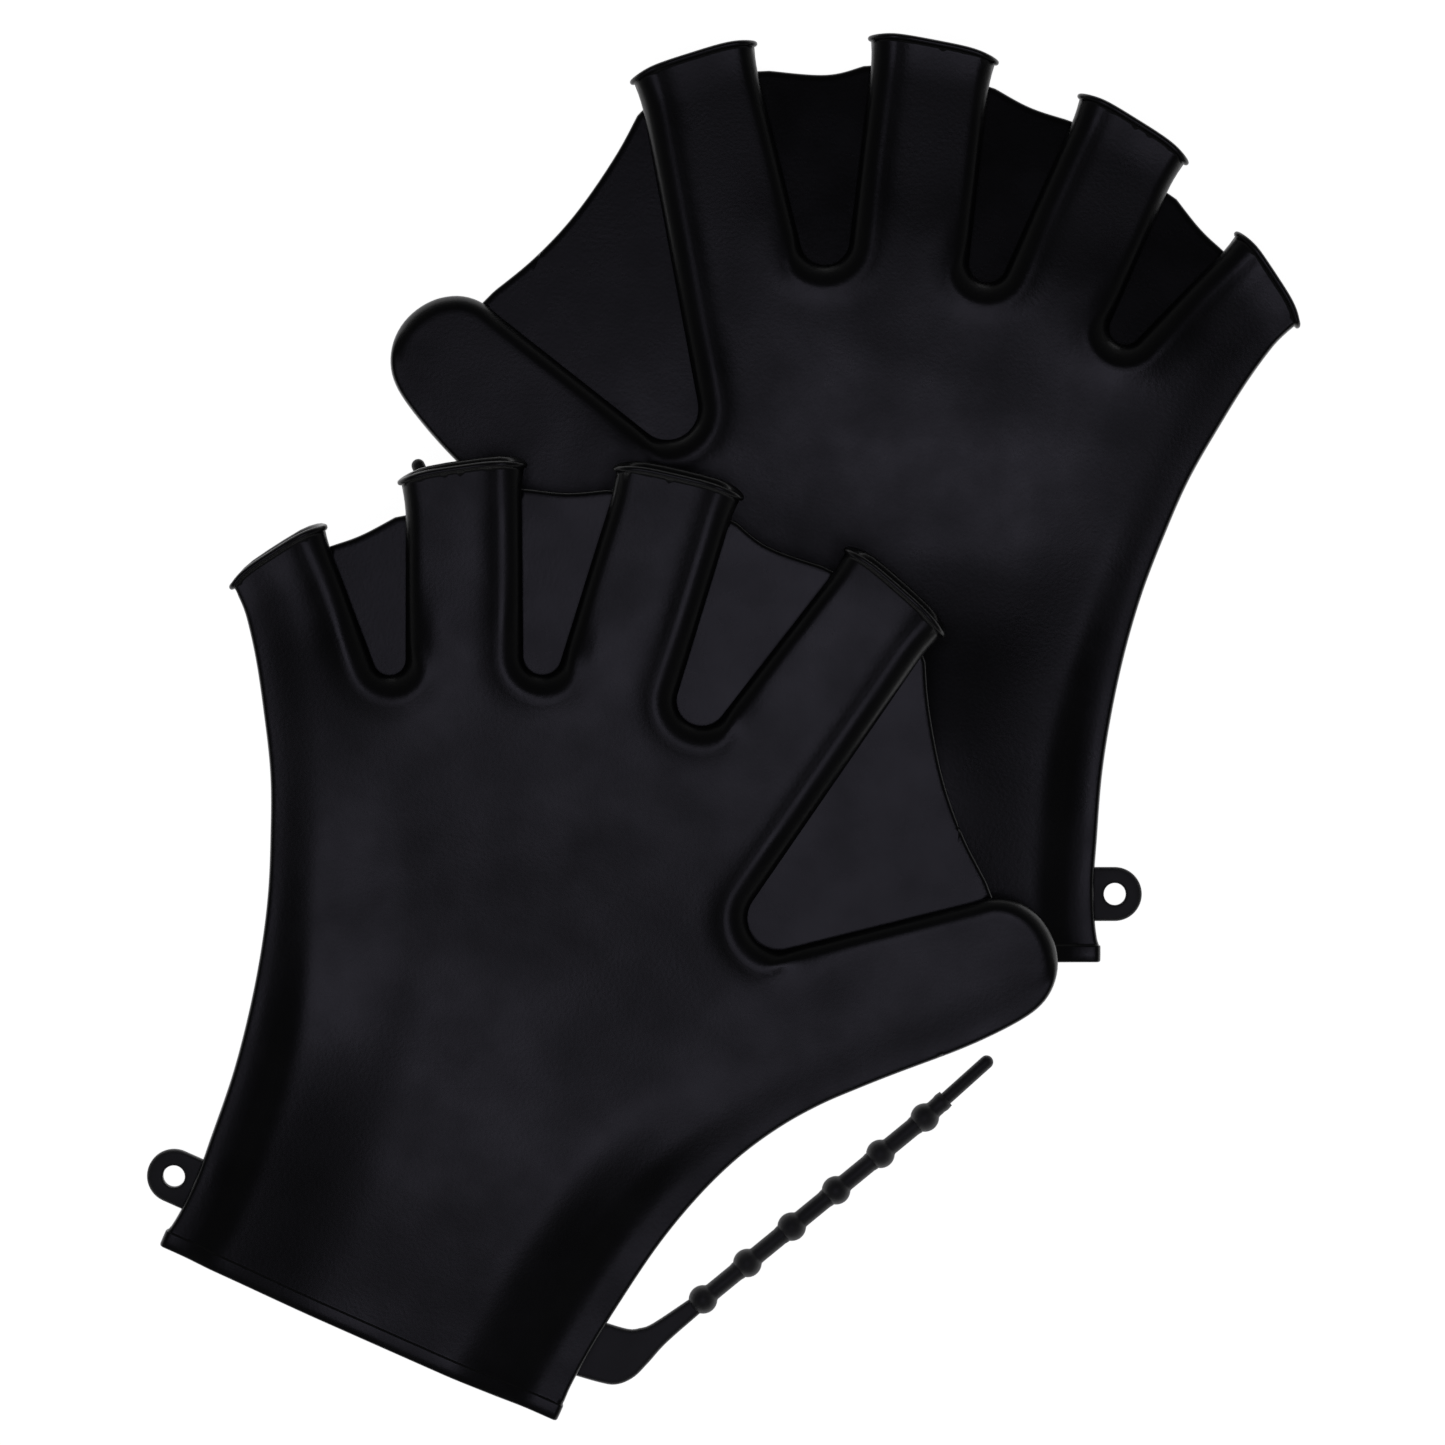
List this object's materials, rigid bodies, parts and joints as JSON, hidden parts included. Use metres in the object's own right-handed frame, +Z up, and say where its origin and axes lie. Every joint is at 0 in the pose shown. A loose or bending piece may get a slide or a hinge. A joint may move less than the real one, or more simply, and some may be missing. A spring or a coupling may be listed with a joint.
{
  "type": "webbed silicone hand gloves",
  "caption": "Pair of black webbed silicone gloves: open finger sleeves, closed thumbs, flat webs, rolled rims, and a beaded wrist strap that pulls through an eyelet lug.",
  "frame": {"origin": "centre of the bounding box on the floor that the pair lies on", "axes": "+Z up from the floor, +Y toward the left glove's fingertips, +X to the right as seen from above"},
  "size_m": [0.2866, 0.3445, 0.0424],
  "materials": {
    "silicone_shell": "satin moulded silicone",
    "silicone_web": "smooth satin silicone sheet",
    "silicone_strap": "satin moulded silicone"
  },
  "bodies": {
    "left_palm": {"left_palm_shell": "silicone_shell", "left_thumb_web_lower": "silicone_web", "left_strap_lug": "silicone_strap", "left_strap_tab": "silicone_strap"},
    "left_fingers": {"left_knuckle_band": "silicone_shell", "left_little_sleeve": "silicone_shell", "left_ring_sleeve": "silicone_shell", "left_middle_sleeve": "silicone_shell", "left_index_sleeve": "silicone_shell", "left_little_ring_web": "silicone_web", "left_ring_middle_web": "silicone_web", "left_middle_index_web": "silicone_web", "left_thumb_web_upper": "silicone_web"},
    "left_thumb": {"left_thumb_pocket": "silicone_shell"},
    "left_strap_1": {"left_strap_bead_1": "silicone_strap"},
    "left_strap_2": {"left_strap_bead_2": "silicone_strap"},
    "left_strap_3": {"left_strap_bead_3": "silicone_strap"},
    "left_strap_4": {"left_strap_bead_4": "silicone_strap"},
    "left_strap_5": {"left_strap_bead_5": "silicone_strap"},
    "left_strap_6": {"left_strap_bead_6": "silicone_strap", "left_strap_tail": "silicone_strap"},
    "right_palm": {"right_palm_shell": "silicone_shell", "right_thumb_web_lower": "silicone_web", "right_strap_lug": "silicone_strap", "right_strap_tab": "silicone_strap"},
    "right_fingers": {"right_knuckle_band": "silicone_shell", "right_little_sleeve": "silicone_shell", "right_ring_sleeve": "silicone_shell", "right_middle_sleeve": "silicone_shell", "right_index_sleeve": "silicone_shell", "right_little_ring_web": "silicone_web", "right_ring_middle_web": "silicone_web", "right_middle_index_web": "silicone_web", "right_thumb_web_upper": "silicone_web"},
    "right_thumb": {"right_thumb_pocket": "silicone_shell"},
    "right_strap_1": {"right_strap_bead_1": "silicone_strap"},
    "right_strap_2": {"right_strap_bead_2": "silicone_strap"},
    "right_strap_3": {"right_strap_bead_3": "silicone_strap"},
    "right_strap_4": {"right_strap_bead_4": "silicone_strap"},
    "right_strap_5": {"right_strap_bead_5": "silicone_strap"},
    "right_strap_6": {"right_strap_bead_6": "silicone_strap", "right_strap_tail": "silicone_strap"}
  },
  "joints": [
    {"name": "right_glove_lift", "type": "slide", "parent": "left_palm", "child": "right_palm", "axis": [0, 0, 1], "range_m": [0, 0.12]},
    {"name": "left_fingers_fold", "type": "hinge", "parent": "left_palm", "child": "left_fingers", "pos_m": [0.04923, 0.10049, 0.0151], "axis": [0.9662, -0.2578, 0], "range_deg": [0, 80], "stiffness_Nm_per_rad": 0.3},
    {"name": "left_thumb_bend", "type": "hinge", "parent": "left_palm", "child": "left_thumb", "pos_m": [-0.0605, 0.08619, 0.0138], "axis": [0.3449, 0.9387, 0], "range_deg": [0, 60], "stiffness_Nm_per_rad": 0.1},
    {"name": "left_strap_wrap", "type": "hinge", "parent": "left_palm", "child": "left_strap_1", "pos_m": [-0.03487, -0.01676, 0.0033], "axis": [0.5926, 0.8055, 0], "range_deg": [-125, 0], "stiffness_Nm_per_rad": 0.02, "springref_deg": 17.19},
    {"name": "left_strap_curl_2", "type": "hinge", "parent": "left_strap_1", "child": "left_strap_2", "pos_m": [-0.04133, -0.00394, 0.0033], "axis": [0, 0, 1], "range_deg": [0, 20], "stiffness_Nm_per_rad": 0.004},
    {"name": "left_strap_curl_3", "type": "hinge", "parent": "left_strap_2", "child": "left_strap_3", "pos_m": [-0.04779, 0.00888, 0.0033], "axis": [0, 0, 1], "range_deg": [0, 20], "stiffness_Nm_per_rad": 0.004},
    {"name": "left_strap_curl_4", "type": "hinge", "parent": "left_strap_3", "child": "left_strap_4", "pos_m": [-0.05425, 0.0217, 0.0033], "axis": [0, 0, 1], "range_deg": [0, 20], "stiffness_Nm_per_rad": 0.004},
    {"name": "left_strap_curl_5", "type": "hinge", "parent": "left_strap_4", "child": "left_strap_5", "pos_m": [-0.06071, 0.03452, 0.0033], "axis": [0, 0, 1], "range_deg": [0, 20], "stiffness_Nm_per_rad": 0.004},
    {"name": "left_strap_curl_6", "type": "hinge", "parent": "left_strap_5", "child": "left_strap_6", "pos_m": [-0.06717, 0.04734, 0.0033], "axis": [0, 0, 1], "range_deg": [0, 20], "stiffness_Nm_per_rad": 0.004},
    {"name": "right_fingers_fold", "type": "hinge", "parent": "right_palm", "child": "right_fingers", "pos_m": [-0.035, -0.00387, 0.03429], "axis": [0.987, -0.1575, 0.0314], "range_deg": [0, 80], "stiffness_Nm_per_rad": 0.3},
    {"name": "right_thumb_bend", "type": "hinge", "parent": "right_palm", "child": "right_thumb", "pos_m": [0.05963, -0.06115, 0.03125], "axis": [-0.0622, -0.9915, -0.1144], "range_deg": [0, 60], "stiffness_Nm_per_rad": 0.1},
    {"name": "right_strap_wrap", "type": "hinge", "parent": "right_palm", "child": "right_strap_1", "pos_m": [-0.00439, -0.14237, 0.0033], "axis": [0.2155, -0.9765, 0], "range_deg": [0, 125], "stiffness_Nm_per_rad": 0.02},
    {"name": "right_strap_curl_2", "type": "hinge", "parent": "right_strap_1", "child": "right_strap_2", "pos_m": [0.00671, -0.13327, 0.0033], "axis": [0, 0, -1], "range_deg": [0, 20], "stiffness_Nm_per_rad": 0.004},
    {"name": "right_strap_curl_3", "type": "hinge", "parent": "right_strap_2", "child": "right_strap_3", "pos_m": [0.01781, -0.12417, 0.0033], "axis": [0, 0, -1], "range_deg": [0, 20], "stiffness_Nm_per_rad": 0.004},
    {"name": "right_strap_curl_4", "type": "hinge", "parent": "right_strap_3", "child": "right_strap_4", "pos_m": [0.02891, -0.11506, 0.0033], "axis": [0, 0, -1], "range_deg": [0, 20], "stiffness_Nm_per_rad": 0.004},
    {"name": "right_strap_curl_5", "type": "hinge", "parent": "right_strap_4", "child": "right_strap_5", "pos_m": [0.04001, -0.10596, 0.0033], "axis": [0, 0, -1], "range_deg": [0, 20], "stiffness_Nm_per_rad": 0.004},
    {"name": "right_strap_curl_6", "type": "hinge", "parent": "right_strap_5", "child": "right_strap_6", "pos_m": [0.05111, -0.09685, 0.0033], "axis": [0, 0, -1], "range_deg": [0, 20], "stiffness_Nm_per_rad": 0.004}
  ],
  "couplings": [
    {"joint": "left_strap_curl_3", "follows": "left_strap_curl_2", "ratio": 1},
    {"joint": "left_strap_curl_4", "follows": "left_strap_curl_2", "ratio": 1},
    {"joint": "left_strap_curl_5", "follows": "left_strap_curl_2", "ratio": 1},
    {"joint": "left_strap_curl_6", "follows": "left_strap_curl_2", "ratio": 1},
    {"joint": "right_strap_curl_3", "follows": "right_strap_curl_2", "ratio": 1},
    {"joint": "right_strap_curl_4", "follows": "right_strap_curl_2", "ratio": 1},
    {"joint": "right_strap_curl_5", "follows": "right_strap_curl_2", "ratio": 1},
    {"joint": "right_strap_curl_6", "follows": "right_strap_curl_2", "ratio": 1}
  ]
}
